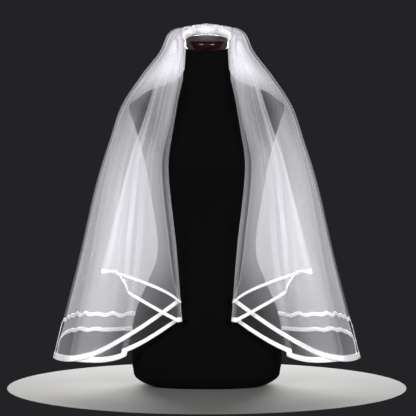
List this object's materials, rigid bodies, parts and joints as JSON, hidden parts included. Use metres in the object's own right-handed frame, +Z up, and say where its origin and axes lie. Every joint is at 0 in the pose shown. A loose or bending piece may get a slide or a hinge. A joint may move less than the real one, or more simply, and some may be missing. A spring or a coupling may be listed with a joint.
{
  "type": "bridal veil on a dress form",
  "caption": "White two-tier tulle bridal veil with satin ribbon hems, gathered on a comb, worn by a black limbless dress form with a dark red wooden neck cap.",
  "frame": {"origin": "middle of the dress form's flat base", "axes": "+Z up the form, -Y the way its front looks, +X to the right when seen from the front"},
  "size_m": [0.7094, 0.3236, 0.8514],
  "materials": {
    "tulle": "matt",
    "satin_ribbon": "satin",
    "comb_plastic": "gloss",
    "black_jersey": "matt",
    "lacquered_wood": "gloss"
  },
  "bodies": {
    "root": {"dress_form": "black_jersey", "neck_cap": "lacquered_wood", "comb": "comb_plastic", "gathered_heading": "tulle", "lower_tier_left": "tulle", "lower_tier_back": "tulle", "lower_tier_right": "tulle", "lower_tier_ribbon": "satin_ribbon", "upper_tier_left": "tulle", "upper_tier_back": "tulle", "upper_tier_right": "tulle", "upper_tier_ribbon": "satin_ribbon"}
  },
  "joints": []
}
